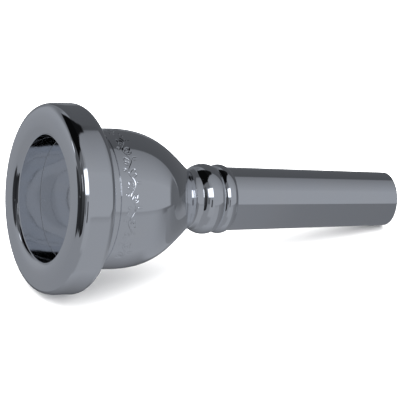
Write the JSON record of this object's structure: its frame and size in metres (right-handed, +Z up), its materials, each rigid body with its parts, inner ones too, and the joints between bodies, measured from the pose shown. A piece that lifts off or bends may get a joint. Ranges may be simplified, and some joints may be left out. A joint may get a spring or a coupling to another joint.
{
  "type": "brass instrument mouthpiece",
  "caption": "Silver-plated cup mouthpiece for a low brass instrument, with a screw rim, a deep cup, a beaded neck and a tapered shank.",
  "frame": {"origin": "middle of the bottom of the part's box, on the surface it lies on", "axes": "lying as it rests on a table, on its rim and the tip of its shank: +X from the rim to the shank, +Z up, and the common axis of all the turned pieces slopes down towards +X by 10.56 degrees in the XZ plane"},
  "size_m": [0.0826, 0.0384, 0.0386],
  "materials": {
    "silver_plate": "mirror-polished silver plate over turned brass",
    "seal_rubber": "matte black"
  },
  "bodies": {
    "shank": {"shank": "silver_plate"},
    "cup_ring": {"cup_seal": "seal_rubber"},
    "cup": {"cup": "silver_plate"},
    "rim_ring": {"rim_seal": "seal_rubber"},
    "rim": {"rim": "silver_plate"}
  },
  "joints": [
    {"name": "cup_travel", "type": "slide", "parent": "shank", "child": "cup_ring", "axis": [-0.9831, 0, 0.1833], "range_m": [0, 0.006]},
    {"name": "cup_turn", "type": "hinge", "parent": "cup_ring", "child": "cup", "pos_m": [-0.00686, 0, 0.01424], "axis": [-0.9831, 0, 0.1833], "range_deg": [0, 2160]},
    {"name": "rim_travel", "type": "slide", "parent": "cup", "child": "rim_ring", "axis": [-0.9831, 0, 0.1833], "range_m": [0, 0.006]},
    {"name": "rim_turn", "type": "hinge", "parent": "rim_ring", "child": "rim", "pos_m": [-0.0273, 0, 0.01805], "axis": [-0.9831, 0, 0.1833], "range_deg": [0, 2160]}
  ],
  "couplings": [
    {"joint": "cup_turn", "follows": "cup_travel", "rad_per_m": 6283.2},
    {"joint": "rim_turn", "follows": "rim_travel", "rad_per_m": 6283.2}
  ]
}
